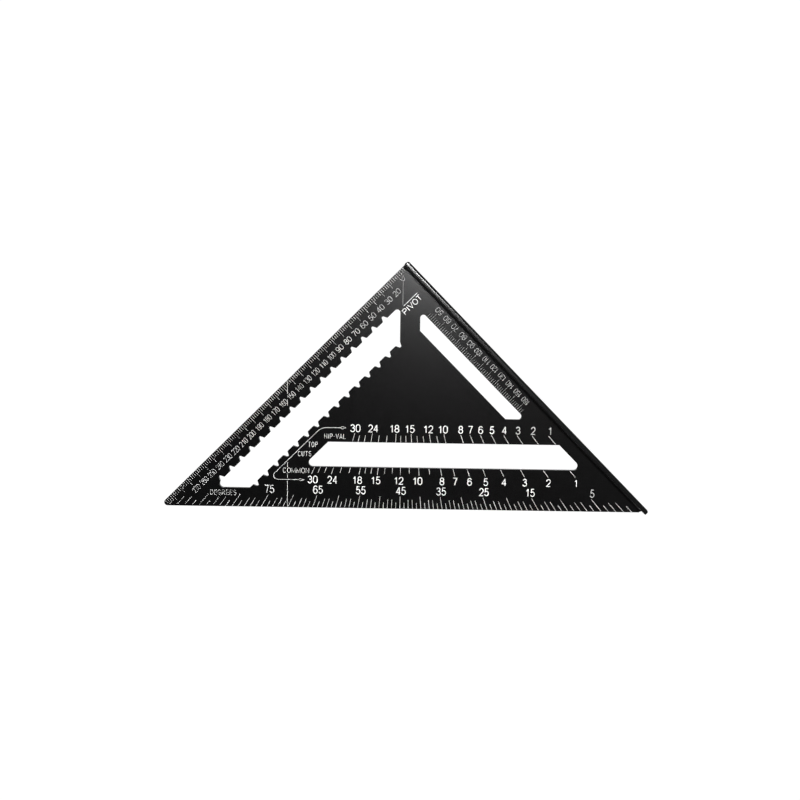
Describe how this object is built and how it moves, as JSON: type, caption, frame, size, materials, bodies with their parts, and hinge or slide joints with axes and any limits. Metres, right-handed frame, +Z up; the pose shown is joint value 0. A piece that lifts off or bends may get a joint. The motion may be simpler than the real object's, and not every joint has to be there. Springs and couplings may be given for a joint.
{
  "type": "rafter square",
  "caption": "Triangular layout square for roof framing: a slotted, notched flat blade set in a T-section fence, with millimetre, degree and rafter scales.",
  "frame": {"origin": "centre of the fence's underside, which the square stands on", "axes": "+X along the fence to the pivot corner, +Z up from the fence along the graduated edge, -Y out of the face that carries the scales"},
  "size_m": [0.3066, 0.024, 0.3064],
  "materials": {
    "black_anodised_blade": "satin",
    "black_anodised_fence": "satin",
    "white_marking": "matte"
  },
  "bodies": {
    "root": {"blade": "black_anodised_blade", "fence": "black_anodised_fence"}
  },
  "joints": []
}
